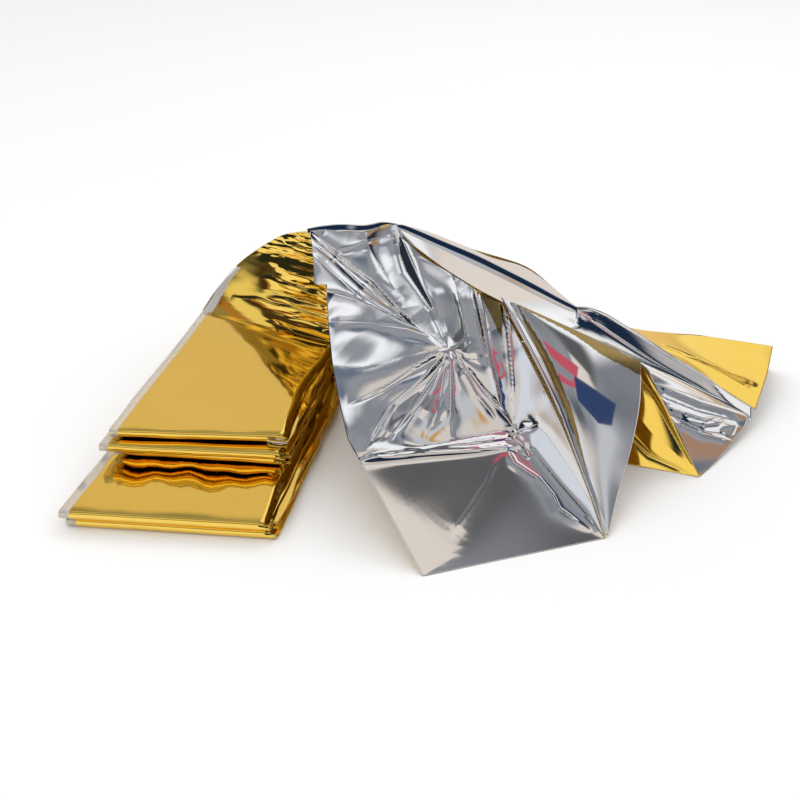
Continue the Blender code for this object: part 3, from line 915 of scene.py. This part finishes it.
leaf_end_area = finish_sheet(leaf_end, SILVER_SMOOTH, GOLD_SMOOTH)

# %% [markdown]
# ## The gold leaf in the valley
# Below the long leaf the film turns under and shows its gold face, with a few long creases. It is a
# narrow net whose left edge is hidden behind the flap, so that no gap opens between the two. A copy
# of the long leaf with its other face up would not do, because this film hangs much more steeply.

# %% Gold valley leaf
VALLEY_ROWS = [
    # hidden edge behind the flap, right-hand edge
    ((129, 96, 53), (133, 94, 53)), ((126, 89, 34), (145, 82, 36)), ((124, 82, 15), (156, 70.5, 16)),
    ((122, 76, 0.3), (165, 60.5, 0.5)),
]
VALLEY_CREASES = [
    (-1.2, 0.7, 3.0, (124, 98), (140, 84), (163, 62)), (0.8, 4.0, 4.0, (120, 92), (138, 79), (163, 62)),
    (-1.0, 0.7, 2.0, (122, 84), (138, 73), (163, 61)),
]
valley = net_piece("gold_valley_leaf", ruled(VALLEY_ROWS, (110, 80)))
press(valley, lambda points: crease_heights(points, VALLEY_CREASES))
valley_area = finish_sheet(valley, GOLD_SMOOTH, SILVER_SMOOTH)

# %% [markdown]
# ## The arch
# From the packet's last crease the gold strip rises and turns over. Its creases all lead to the
# right, where the film is gathered, so the arch is a net between its left outline and its right
# edge. A crease here is a place up the arch, a height, a width to each side, and how far left it runs.
# Three sets of finer streaks lie over the creases. The lowest left edge keeps its clear selvage.

# %% Gold arch
ARCH_ROWS = [
    # left outline, right edge
    ((-128, 215, 29), (-40, 168, 29)), ((-124, 219, 33), (-41, 170, 36)),
    ((-119, 224, 40), (-42, 172, 46)), ((-110, 227, 51), (-43, 174, 56)),
    ((-100, 226, 61), (-44, 177, 66)), ((-88, 221, 71), (-46, 180, 76)),
    ((-72, 209, 84), (-48, 183, 86)), ((-60, 195, 92), (-51, 186, 92)),
    ((-54, 187, 95), (-53, 187, 95)),
]
ARCH_CREASES = [
    # place up the arch, height, width below, width above, how far left it runs, bend
    (0.05, 1.2, 0.030, 0.015, 0.50, 0.01), (0.10, -1.0, 0.020, 0.020, 0.40, 0.00),
    (0.15, 2.0, 0.045, 0.012, 0.85, 0.02), (0.20, 1.2, 0.012, 0.020, 0.60, 0.01),
    (0.25, -2.8, 0.030, 0.040, 0.62, 0.01), (0.31, 2.4, 0.030, 0.030, 0.70, 0.02),
    (0.36, -1.2, 0.015, 0.015, 0.55, -0.02), (0.41, 2.4, 0.035, 0.020, 0.62, 0.03),
    (0.46, 1.2, 0.012, 0.020, 0.62, -0.02), (0.52, -3.0, 0.040, 0.040, 1.00, 0.04),
    (0.60, 2.8, 0.012, 0.050, 0.90, 0.05), (0.68, -1.6, 0.020, 0.030, 0.80, 0.03),
    (0.74, 2.2, 0.030, 0.030, 0.90, -0.05), (0.82, -1.6, 0.020, 0.020, 0.80, -0.05),
    (0.88, 1.6, 0.020, 0.020, 0.90, -0.04),
]


ARCH_STEPS = (260, 100)
ARCH_STREAKS = (6, 10, 17)        # how many streaks cross the arch, from bold to fine
CLEAR_SLOT = 4                    # place of the clear film in the arch's list of materials


def arch_folds(points):
    up = np.repeat(np.linspace(1, 0, ARCH_STEPS[0]), ARCH_STEPS[1])
    side = np.tile(np.linspace(0, 1, ARCH_STEPS[1]), ARCH_STEPS[0])
    height = np.zeros(len(points))
    for place, rise, below, above, reach, bend in ARCH_CREASES:
        away = up - place - bend * np.sin(math.pi * side) - 0.006 * np.sin(side * 21 + place * 40)
        cusp = np.exp(-np.abs(away) / np.where(away < 0, below, above))
        start = np.clip((side - (1 - reach)) * 5, 0, 1)
        height += 0.6 * rise * cusp * start * np.clip((1 - side) * 6 + 0.25, 0, 1)
    fan = np.stack([up * 100, side * 14], axis=1)
    rough = np.clip((side - 0.42 + np.clip(up - 0.4, 0, 1) * 3) * 4, 0.05, 1)
    height += facet_heights(fan, 6, 0.25, 21) * rough
    random = np.random.default_rng(8)
    for count in ARCH_STREAKS:
        lean = 0.03 * np.sin(side * 4 + random.uniform(0, 6)) - 0.06 * side * np.clip(up - 0.45, -1, 1)
        streak = np.abs(np.sin(math.pi * (count * (up + lean) + random.uniform(0, 1))))
        height += 4.5 / count * streak * rough
    return height * np.clip(np.minimum(up * 20, (1 - up) * 8), 0, 1)


arch = net_piece("gold_arch", ruled(ARCH_ROWS[::-1], ARCH_STEPS))
press(arch, arch_folds)
arch_area = finish_sheet(arch, GOLD_CREASED, SILVER_CREASED)
arch.data.materials.append(CLEAR_EDGE)
arch.data.materials.append(CLEAR_EDGE)
row, column = face_grid(ARCH_STEPS)
up = 1 - row
clear_faces = (column < 0.07 - 0.04 * up) & (up < 0.36)
arch_kinds = np.where(clear_faces.ravel(), CLEAR_SLOT, 0).astype(np.int32)
arch.data.polygons.foreach_set("material_index", arch_kinds)

# %% [markdown]
# ## The back of the tent
# Behind the ridge one leaf stands a little higher, and the film then falls to the surface. The front
# hides these folds, so they are plain: two nets from the ridge and the arch down to the surface, with
# large facets that fade out at the top and at the foot so that the edges still meet.

# %% Back leaf
BACK_TOP = [(-54, 187, 94), (-20, 177, 100), (-2, 171, 105), (35, 188, 86), (78, 195, 68),
            (108, 174, 50), (147, 180, 31), (187, 181, 28), (230, 170, 26)]
BACK_BOTTOM = [(-30, 240, 0.3), (0, 238, 0.3), (40, 234, 0.3), (70, 230, 0.3), (105, 226, 0.3),
               (150, 214, 0.3), (195, 205, 0.3), (236, 190, 0.3)]
BACK_LEFT = [(-54, 187, 94), (-44, 210, 60), (-30, 240, 0.3)]
BACK_RIGHT = [(230, 170, 26), (236, 190, 0.3)]
back_leaf = net_piece("back_leaf", patch(BACK_TOP, BACK_BOTTOM, BACK_LEFT, BACK_RIGHT, (90, 280))[::-1])


def back_folds(points):
    low = np.clip((84 - points[:, 2]) / 20, 0, 1) * np.clip(points[:, 2] / 12, 0, 1)
    flat = np.stack([points[:, 0], points[:, 2] * 0.7], axis=1)
    return (facet_heights(flat, 26, 2.2, 31) + wave_heights(flat, 60, 1.4, 5)) * low


press(back_leaf, back_folds)
back_area = finish_sheet(back_leaf, SILVER_SMOOTH, GOLD_SMOOTH)

CREST_ROWS = [
    # ridge, crest behind it
    ((-2, 170, 105.5), (-2, 171, 105.5)), ((16, 170.5, 97), (16, 182, 97)), ((53, 171, 80), (52, 193, 78)),
    ((80, 171.5, 65.5), (80, 194, 67)), ((108, 172, 50), (109, 173, 50)),
]
crest = net_piece("back_crest", ruled(CREST_ROWS, (110, 24)))
crest_area = finish_sheet(crest, SILVER_SMOOTH, GOLD_SMOOTH)

ARCH_BACK_ROWS = [
    # arch outline, foot behind it
    ((-54, 187, 94), (-30, 240, 0.3)), ((-71, 209, 84), (-50, 242, 0.3)), ((-90, 222, 69), (-66, 243, 0.3)),
    ((-110, 227, 50), (-84, 245, 0.3)), ((-121, 223, 38), (-92, 246, 0.3)),
    ((-128, 216, 29), (-98, 246, 0.3)),
]
arch_back = net_piece("arch_back", ruled(ARCH_BACK_ROWS[::-1], (90, 60)))


def arch_back_folds(points):
    low = np.clip(points[:, 2] / 12, 0, 1) * np.clip((95 - points[:, 2]) / 8, 0, 1)
    flat = np.stack([points[:, 0], points[:, 2]], axis=1)
    return facet_heights(flat, 16, 1.6, 14) * low * 0.6


press(arch_back, arch_back_folds)
arch_back_area = finish_sheet(arch_back, SILVER_CREASED, GOLD_CREASED)

# %% [markdown]
# ## Rolled folds
# Along the ridge the film is turned over into a small steep roll, and past the pinch the roll grows
# to a thick one with several leaves wound together. Each place along a roll has its low front point,
# its depth and its height, and the profile is the same all along. The wound leaves are fine steps
# round the thick roll. A bevelled curve could make the tube, but not a flat front with a round top.

# %% Rolled folds
ROLL_PROFILE = [(-0.50, -0.02), (-0.14, 0.03), (0.0, 0.10), (0.25, 0.36), (0.50, 0.63), (0.74, 0.88),
                (0.90, 0.98), (1.08, 1.0), (1.5, 0.88), (2.0, 0.45), (2.2, 0.0)]
RIDGE_PLACES = [
    # low front point, depth, height
    (-2, 169, 104.5, 0.8, 1.6), (8, 169, 100, 1.4, 3.2), (53, 169.5, 78.5, 1.8, 4.0),
    (96, 170, 55, 1.6, 3.6), (108, 171, 48.5, 1.2, 3.0),
]
TOP_PLACES = [
    (-56, 186, 94.0, 1.1, 2.6), (-40, 181, 97.5, 1.4, 3.6), (-20, 175, 100.0, 1.4, 3.2),
    (-10, 172, 103.5, 1.2, 2.8), (-2, 169, 104.5, 0.8, 2.0),
]
BIG_PLACES = [
    (106, 171.5, 48, 1.6, 3.6), (116, 166, 44.5, 3.2, 8.0), (128, 159.5, 39, 4.4, 11.0),
    (146, 149.5, 30.5, 5.0, 11.8), (162, 140, 24, 5.0, 11.4), (178, 130.5, 18, 4.8, 10.6),
    (192, 121, 12, 4.6, 9.6), (205, 113.5, 7, 4.4, 8.6),
]
ROLL_LINES = [
    # place round the roll, step, how far left it runs
    (0.30, 0.20, 0.35), (0.36, 0.20, 0.70), (0.41, 0.24, 0.95), (0.45, 0.22, 0.60), (0.49, 0.24, 0.95),
    (0.53, 0.24, 0.80), (0.57, 0.26, 0.98), (0.61, 0.22, 0.90), (0.65, 0.26, 0.98),
]


def rolled_fold(name, places, steps, lines=()):
    keys = along(places, steps[0])
    shape = along(ROLL_PROFILE, steps[1])
    around = np.linspace(0, 1, steps[1])
    run = np.linspace(0, 1, steps[0])
    swell = np.ones((steps[0], steps[1]))
    for place, step, reach in lines:
        edge = 1 / (1 + np.exp((around - place) / 0.004))
        start = np.clip((run - (1 - reach)) * 4, 0, 1)
        swell += (edge - 1)[None, :] * start[:, None] * step * 0.22
    net = np.empty((steps[0], steps[1], 3))
    net[:, :, 0] = keys[:, None, 0]
    net[:, :, 1] = keys[:, None, 1] + keys[:, None, 3] * shape[None, :, 0] * swell
    net[:, :, 2] = keys[:, None, 2] + keys[:, None, 4] * shape[None, :, 1] * swell
    net[:, :, 2] += 0.12 * np.sin(run * 19)[:, None] * (around[None, :] < 0.8)
    return net_piece(name, net)


ridge_roll = rolled_fold("ridge_roll", RIDGE_PLACES, (160, 26))
ridge_area = finish_sheet(ridge_roll, SILVER_SMOOTH, GOLD_SMOOTH)
top_roll = rolled_fold("top_roll", TOP_PLACES, (80, 26))
top_area = finish_sheet(top_roll, SILVER_SMOOTH, GOLD_SMOOTH)
big_roll = rolled_fold("big_roll", BIG_PLACES, (200, 130), ROLL_LINES)
big_area = finish_sheet(big_roll, SILVER_SMOOTH, GOLD_SMOOTH)

# %% [markdown]
# ## The gold end
# Behind the roll the film ends in a leaf with its gold face up. All four of its edges bend, so it is
# a Coons patch, nearly flat, with a few short creases near its tip and a slow wave.

# %% Gold end leaf
END_TOP = [(112, 176, 46), (147, 186, 30), (187, 181, 28), (230, 170, 26)]
END_BOTTOM = [(112, 170, 43), (146, 152, 34), (171, 139, 27), (208, 117, 11)]
END_LEFT = [(112, 176, 46), (112, 170, 43)]
END_RIGHT = [(230, 170, 26), (221, 146, 18), (208, 117, 11)]
END_CREASES = [
    (1.2, 1.0, 3.0, (128, 172), (160, 158), (186, 146), (212, 130)),
    (-1.6, 1.5, 1.5, (170, 155), (190, 145), (214, 134)),
    (1.4, 0.8, 2.0, (176, 154), (196, 144), (217, 138)),
    (1.0, 0.8, 0.8, (160, 166), (184, 152), (200, 143)),
]
gold_end = net_piece("gold_end_leaf", patch(END_TOP, END_BOTTOM, END_LEFT, END_RIGHT, (90, 160)))
press(gold_end, lambda points: crease_heights(points, END_CREASES) + wave_heights(points, 70, 0.4, 12) + 0.3)
end_area = finish_sheet(gold_end, GOLD_SMOOTH, SILVER_SMOOTH)

# %% [markdown]
# ## Waves in the packet's tops
# Pressed film is never quite flat, and a mirror turns a wave of half a millimetre into bold bands.
# The two tops that show have different waves, so each point's height gets a sum of sines of its place
# across and along the packet, faded out towards the folds. The leaves below stay as they are.


# %% Waves in the packet's tops
def packet_waves(piece):
    """Slow waves on the two tops that show, a row of them just in front of the upper folds."""
    points, _ = read_points(piece)
    place = points / MM + ORIGIN
    away = place[:, :2] - np.array(PACKET_CORNER)
    across = away[:, 0] * math.cos(PACKET_TURN) - away[:, 1] * math.sin(PACKET_TURN)
    depth = away[:, 0] * math.sin(PACKET_TURN) + away[:, 1] * math.cos(PACKET_TURN)
    lower = np.clip((place[:, 2] - 9.6) * 4, 0, 1) * np.clip((13.0 - place[:, 2]) * 4, 0, 1)
    lower *= np.clip((depth - 8) / 14, 0, 1) * np.clip((50 - depth) / 6, 0, 1) * np.clip(-across / 8, 0, 1)
    upper = np.clip((place[:, 2] - 28.0) * 4, 0, 1) * np.clip((depth - 62) / 20, 0, 1)
    place[:, 2] += lower * 0.55 * np.sin(across * math.tau / 21 + depth * 0.14)
    place[:, 2] += lower * 0.30 * np.sin(across * math.tau / 47 - depth * 0.09 + 1.0)
    place[:, 2] += upper * 0.60 * np.sin(across * math.tau / 90 + depth * 0.035)
    write_points(piece, to_frame(place))


packet_waves(packet)
print("packet top, mm:", round(max(v.co.z for v in packet.data.vertices) / MM, 2))

# %% [markdown]
# ## The packet's thickness
# The node tree leaves an empty first material slot, so the two real materials move up by one. Solidify
# then thickens the film to both sides of the surface and closes every edge.

# %% Packet film
packet_kinds = np.empty(len(packet.data.polygons), dtype=np.int32)
packet.data.polygons.foreach_get("material_index", packet_kinds)
packet.data.materials.clear()
packet.data.materials.append(GOLD_SMOOTH)
packet.data.materials.append(CLEAR_EDGE)
packet.data.polygons.foreach_set("material_index", packet_kinds - 1)
shell = packet.modifiers.new("film", "SOLIDIFY")
shell.thickness = FILM * MM
shell.offset = 0.0
packet_area = sum(face.area for face in packet.data.polygons)
print("packet area m2:", round(packet_area, 4), [m.name for m in packet.data.materials])

# %% [markdown]
# ## Leaf edges on the packet's right side
# The packet's right side shows the edges of many leaves, more than the tree's plies have. Each stack
# is one more strip folded to and fro: every fold is a half-round edge that stands out by its own
# amount and wanders a little along its length. Lines in a material would lie flat and would not catch
# the light as round edges do.

# %% Leaf edges
SIDE_STACKS = [
    # name, lowest, highest, leaves, front depth, back depth, place across, seed
    ("lower_side_leaves", 0.9, 10.4, 6, 2.0, 165, 0.2, 41),
    ("upper_side_leaves", 12.8, 28.4, 10, 52, 165, -6.2, 47),
]


def side_leaves(name, low, high, count, front, back, across, seed):
    """One strip folded to and fro; each fold is a round edge that stands out by its own amount."""
    random = np.random.default_rng(seed)
    run = np.linspace(0, 1, 70)
    angles = np.linspace(0.5 * math.pi, -0.5 * math.pi, 7)
    pitch = (high - low) / count
    radius = pitch * 0.30
    columns = []
    for height in high - pitch * (np.arange(count) + 0.5):
        stand = across + (1.3 if len(columns) % 2 else -1.9) + random.uniform(-0.7, 0.7)
        swing = np.zeros(70)
        lift = np.zeros(70)
        for turns in (0.7, 1.6, 3.3):
            swing += random.uniform(-0.9, 0.9) * np.sin(run * turns * math.tau + random.uniform(0, 6))
            lift += random.uniform(-0.12, 0.12) * np.sin(run * turns * math.tau + random.uniform(0, 6))
        start = front + random.uniform(0, 3)
        rims = [(-9.0, radius)] + [(radius * math.cos(a), radius * math.sin(a)) for a in angles]
        for out, up in rims + [(-9.0, -radius)]:
            columns.append(np.stack([packet_point(stand + swing[i] + out, back + (start - back) * run[i],
                                                  height + lift[i] + up) for i in range(70)]))
    piece = net_piece(name, np.stack(columns, axis=1))
    area = finish_sheet(piece, GOLD_SMOOTH, SILVER_SMOOTH, 0.1)
    return piece, area


side_stacks = [side_leaves(*row) for row in SIDE_STACKS]

# %% [markdown]
# ## Each piece on the body
# Every piece rides on the only body, and the imported solid that the pieces stand for is hidden. Its
# flat size is a round width and the length that gives the piece its own measured area. The table
# holds each piece's measured area, a round width and how it is held. Every piece is only a stretch
# of the one big sheet.

SHEETS = [
    # piece, area, width, held
    (packet, packet_area, LEAVES * LEAF_WIDTH, "folded"),
    (side_stacks[0][0], side_stacks[0][1], 0.16, "folded"),
    (side_stacks[1][0], side_stacks[1][1], 0.11, "folded"),
    (arch, arch_area, 0.085, "draped"),
    (drape, drape_area, 0.11, "draped"),
    (flap, flap_area, 0.08, "draped"),
    (long_leaf, long_area, 0.09, "draped"),
    (leaf_end, leaf_end_area, 0.05, "draped"),
    (valley, valley_area, 0.05, "draped"),
    (back_leaf, back_area, 0.09, "draped"),
    (crest, crest_area, 0.02, "draped"),
    (arch_back, arch_back_area, 0.09, "draped"),
    (ridge_roll, ridge_area, 0.01, "draped"),
    (top_roll, top_area, 0.01, "draped"),
    (big_roll, big_area, 0.03, "draped"),
    (gold_end, end_area, 0.05, "draped"),
]
for piece, area, width, held in SHEETS:
    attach(piece, "root")
    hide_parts("foil_blanket")

# %% [markdown]
# ## The studio's walls
# A mirror shows what is around it, so the studio matters more than the lamps: pale walls, large soft
# cards, and darker gaps between them. They are painted on the world by direction, one node group for
# each card, because real cards of that size would stand in the camera's way.


# %% A card on the wall
def card_group():
    """A soft-edged card on the studio's wall: its mask for a direction of view."""
    tree, source, result = new_group("studio_card", "ShaderNodeTree", [
        ("INPUT", "Direction", "NodeSocketVector", None),
        ("INPUT", "Facing", "NodeSocketVector", (0.0, 1.0, 0.0)),
        ("INPUT", "Right", "NodeSocketVector", (1.0, 0.0, 0.0)),
        ("INPUT", "Up", "NodeSocketVector", (0.0, 0.0, 1.0)),
        ("INPUT", "Half Width", "NodeSocketFloat", 0.3),
        ("INPUT", "Half Height", "NodeSocketFloat", 0.3),
        ("INPUT", "Softness", "NodeSocketFloat", 0.1),
        ("OUTPUT", "Mask", "NodeSocketFloat", None),
    ])
    take = source.outputs

    def dot(side):
        return add_node(tree, "ShaderNodeVectorMath", {0: take["Direction"], 1: take[side]},
                        operation="DOT_PRODUCT").outputs["Value"]

    ahead = dot("Facing")
    safe = add_math(tree, "MAXIMUM", ahead, 0.02)
    masks = []
    for side, size in (("Right", "Half Width"), ("Up", "Half Height")):
        offset = add_math(tree, "ABSOLUTE", add_math(tree, "DIVIDE", dot(side), safe))
        inner = add_math(tree, "SUBTRACT", take[size], take["Softness"])
        outer = add_math(tree, "ADD", take[size], take["Softness"])
        mask = add_node(tree, "ShaderNodeMapRange", {"Value": offset, "From Min": inner,
                                                     "From Max": outer, "To Min": 1.0, "To Max": 0.0},
                        interpolation_type="SMOOTHSTEP")
        masks.append(mask.outputs["Result"])
    front = add_math(tree, "GREATER_THAN", ahead, 0.02)
    both = add_math(tree, "MULTIPLY", masks[0], masks[1])
    tree.links.new(add_math(tree, "MULTIPLY", both, front), result.inputs["Mask"])
    return tree


CARD = card_group()
print("card sockets:", [socket.name for socket in CARD.interface.items_tree])

# %% [markdown]
# ## Where the cards stand
# Azimuth is counted from the back and runs clockwise seen from above, so 180 is behind the camera. A
# later card hides an earlier one. The dark card low in front gives the rolled folds their navy, the
# wide pale ones give the smooth leaves their cream, and the small ones near the top are what the
# drape's facets pick up. A recorded panorama could light it too, but its parts can't be moved singly.
# The camera and the floor see plain white in place of the cards.

# %% Studio world
STUDIO_CARDS = [
    # azimuth from the back, elevation, half width, half height, softness, turn, colour
    (0, 8, 75, 20, 8, 0, (0.84, 0.74, 0.65)),
    (-14, 30, 20, 12, 6, 0, (0.72, 0.64, 0.56)),
    (180, 12, 70, 28, 4, 0, (0.010, 0.025, 0.055)),
    (180, 56, 60, 14, 6, 0, (0.74, 0.67, 0.60)),
    (-156, 10, 12, 18, 2, 0, (1.0, 0.97, 0.92)),
    (-104, 27, 14, 9, 3, 0, (0.84, 0.82, 0.78)),
    (-104, 10, 14, 6, 3, 0, (0.06, 0.04, 0.03)),
    (-104, -6, 14, 10, 4, 0, (0.50, 0.25, 0.10)),
    (-70, 16, 20, 30, 4, 0, (0.024, 0.028, 0.040)),
    (-104, 42, 10, 5, 3, 0, (0.40, 0.24, 0.12)),
    (30, 45, 20, 18, 5, 0, (1.0, 0.99, 0.97)),
    (52, 15, 6, 7, 4, 0, (1.0, 0.98, 0.96)),
    (74, 23, 9, 6, 2, 0, (0.14, 0.17, 0.22)),
    (76, 11, 9, 6, 1.5, 0, (0.42, 0.25, 0.16)),
    (68, 64, 11, 6, 3, 20, (0.11, 0.11, 0.11)),
    (92, 65, 6, 8, 0.4, 10, (0.82, 0.73, 0.64)),
    (-54, 61, 9, 6, 5, 25, (1.05, 1.05, 1.05)),
    (-30, 59, 5, 4, 3, 0, (0.15, 0.18, 0.23)),
    (-80, 60, 6, 4, 3, 0, (0.60, 0.60, 0.62)),
    (-20, 74, 7, 3, 3, 0, (0.9, 0.92, 0.95)),
    (30, 76, 6, 4, 4, 0, (0.20, 0.21, 0.22)),
    (110, 52, 12, 9, 6, 0, (0.60, 0.60, 0.61)),
    (-130, 50, 14, 9, 6, 0, (0.75, 0.77, 0.82)),
    (160, 76, 9, 5, 4, 0, (0.12, 0.13, 0.15)),
    (126, 43, 5, 4, 3, 0, (0.62, 0.34, 0.10)),
]


def studio_world():
    world = bpy.data.worlds.new("studio")
    bpy.context.scene.world = world
    world.use_nodes = True
    tree = world.node_tree
    background = tree.nodes["Background"]
    view = add_node(tree, "ShaderNodeTexCoord").outputs["Generated"]
    cloud = add_node(tree, "ShaderNodeTexNoise", {"Vector": view, "Scale": 2.3, "Detail": 1.0})
    colour = add_node(tree, "ShaderNodeMix", {"Factor": cloud.outputs["Fac"], 6: (0.08, 0.09, 0.11, 1),
                                              7: (0.48, 0.48, 0.50, 1)}, data_type="RGBA").outputs[2]
    for azimuth, elevation, width, height, softness, turn, paint in STUDIO_CARDS:
        a, e, w = math.radians(azimuth), math.radians(elevation), math.radians(turn)
        facing = Vector((math.sin(a) * math.cos(e), math.cos(a) * math.cos(e), math.sin(e)))
        level = Vector((math.cos(a), -math.sin(a), 0.0))
        rise = level.cross(facing)
        right = level * math.cos(w) + rise * math.sin(w)
        up = rise * math.cos(w) - level * math.sin(w)
        mask = add_node(tree, "ShaderNodeGroup", node_tree=CARD)
        tree.links.new(view, mask.inputs["Direction"])
        mask.inputs["Facing"].default_value = facing
        mask.inputs["Right"].default_value = right
        mask.inputs["Up"].default_value = up
        mask.inputs["Half Width"].default_value = math.tan(math.radians(width))
        mask.inputs["Half Height"].default_value = math.tan(math.radians(height))
        mask.inputs["Softness"].default_value = math.radians(softness)
        colour = add_node(tree, "ShaderNodeMix", {"Factor": mask.outputs["Mask"], 6: colour,
                                                  7: (*paint, 1.0)}, data_type="RGBA").outputs[2]
    path = add_node(tree, "ShaderNodeLightPath")
    plain = add_math(tree, "MAXIMUM", path.outputs["Is Camera Ray"], path.outputs["Is Diffuse Ray"])
    final = add_node(tree, "ShaderNodeMix", {"Factor": plain, 6: colour, 7: (0.95, 0.95, 0.95, 1.0)},
                     data_type="RGBA")
    tree.links.new(final.outputs[2], background.inputs["Color"])
    background.inputs["Strength"].default_value = 1.0


studio_world()
print("cards on the studio's walls:", len(STUDIO_CARDS))

# %% [markdown]
# ## Floor, lamps and hanging cards
# The lamps are weak and not seen in the film, and give the floor its soft shadow. Three small coloured
# cards hang just above the blanket, as a studio hangs them to colour one fold: a near card is mirrored
# by a few folds only, while a card on the wall is mirrored by many. A real one would have a honeycomb
# in front to narrow its beam; here Layer Weight hides the card from rays that lean too far.


# %% Floor, lamps and hanging cards
CARD_BEAM = 0.38          # how far a ray may lean before it no longer meets a hanging card
FLOOR_HALF = 8.0


def soft_light(name, place, aim, size, power, colour):
    data = bpy.data.lights.new(name, "AREA")
    data.shape = "RECTANGLE"
    data.size, data.size_y = size
    data.energy = power
    data.color = colour
    light = bpy.data.objects.new(name, data)
    light.location = place
    light.visible_glossy = False
    light.rotation_euler = (Vector(aim) - Vector(place)).to_track_quat("-Z", "Y").to_euler()
    bpy.context.collection.objects.link(light)


def coloured_card(name, corners, height, colour):
    """A card hung flat over the film, met only by reflected rays inside its beam."""
    mesh = bpy.data.meshes.new(name)
    mesh.from_pydata([tuple(to_frame((x, y, height))) for x, y in corners], [],
                     [tuple(range(len(corners)))[::-1]])
    card = bpy.data.objects.new(name, mesh)
    bpy.context.collection.objects.link(card)
    material = bpy.data.materials.new(name)
    material.use_nodes = True
    tree = material.node_tree
    tree.nodes.remove(tree.nodes["Principled BSDF"])
    lean = add_node(tree, "ShaderNodeLayerWeight", {"Blend": 0.5}).outputs["Facing"]
    shown = add_node(tree, "ShaderNodeMixShader", {
        0: add_math(tree, "LESS_THAN", lean, CARD_BEAM),
        1: add_node(tree, "ShaderNodeBsdfTransparent").outputs[0],
        2: add_node(tree, "ShaderNodeEmission", {"Color": (*colour, 1.0)}).outputs[0]})
    tree.links.new(shown.outputs[0], tree.nodes["Material Output"].inputs["Surface"])
    mesh.materials.append(material)
    card.visible_camera = False
    card.visible_diffuse = False
    card.visible_shadow = False
    card.visible_transmission = False


def floor_piece():
    mesh = bpy.data.meshes.new("floor")
    half = FLOOR_HALF
    mesh.from_pydata([(-half, -half, 0), (half, -half, 0), (half, half, 0), (-half, half, 0)], [],
                     [(0, 1, 2, 3)])
    floor = bpy.data.objects.new("floor", mesh)
    bpy.context.collection.objects.link(floor)
    material = bpy.data.materials.new("pale_floor")
    material.use_nodes = True
    shader = material.node_tree.nodes["Principled BSDF"]
    shader.inputs["Base Color"].default_value = (0.93, 0.93, 0.93, 1.0)
    shader.inputs["Roughness"].default_value = 0.6
    mesh.materials.append(material)


HANGING_CARDS = [
    # name, corners, height, colour
    ("red_card", ((80, 62), (112, 66), (120, 84), (78, 92)), 121, (0.60, 0.10, 0.14)),
    ("grey_card", ((74, 70), (108, 70), (112, 76), (80, 80)), 120, (0.30, 0.29, 0.31)),
    ("navy_card", ((110, 54), (150, 40), (184, 48), (182, 72), (112, 76)), 119, (0.035, 0.06, 0.15)),
]
floor_piece()
for row in HANGING_CARDS:
    coloured_card(*row)
soft_light("key_softbox", (-0.7, -0.5, 1.4), (0, 0, 0), (0.9, 0.6), 4, (1.0, 0.98, 0.95))
soft_light("back_softbox", (0.5, 0.9, 1.2), (0, 0, 0), (0.8, 0.5), 3, (0.95, 0.97, 1.0))

# %% [markdown]
# ## The camera
# It stands in front of the blanket and looks down on it at a low angle, through a fairly long lens, so
# that the packet and the open leaves keep their proportions. It has no depth of field.

# %% Camera
CAMERA_PLACE = (0.0, -520.2, 370.8)
CAMERA_DOWN = 29.0
CAMERA_LENS = 56.25
lens = bpy.data.cameras.new("camera")
lens.lens = CAMERA_LENS
lens.sensor_width = 36.0
camera = bpy.data.objects.new("camera", lens)
camera.location = to_frame(CAMERA_PLACE)
camera.rotation_euler = (math.radians(90 - CAMERA_DOWN), 0.0, 0.0)
bpy.context.collection.objects.link(camera)
bpy.context.scene.camera = camera
bpy.context.scene.view_settings.view_transform = "Standard"
print("camera, m:", [round(value, 3) for value in camera.location])
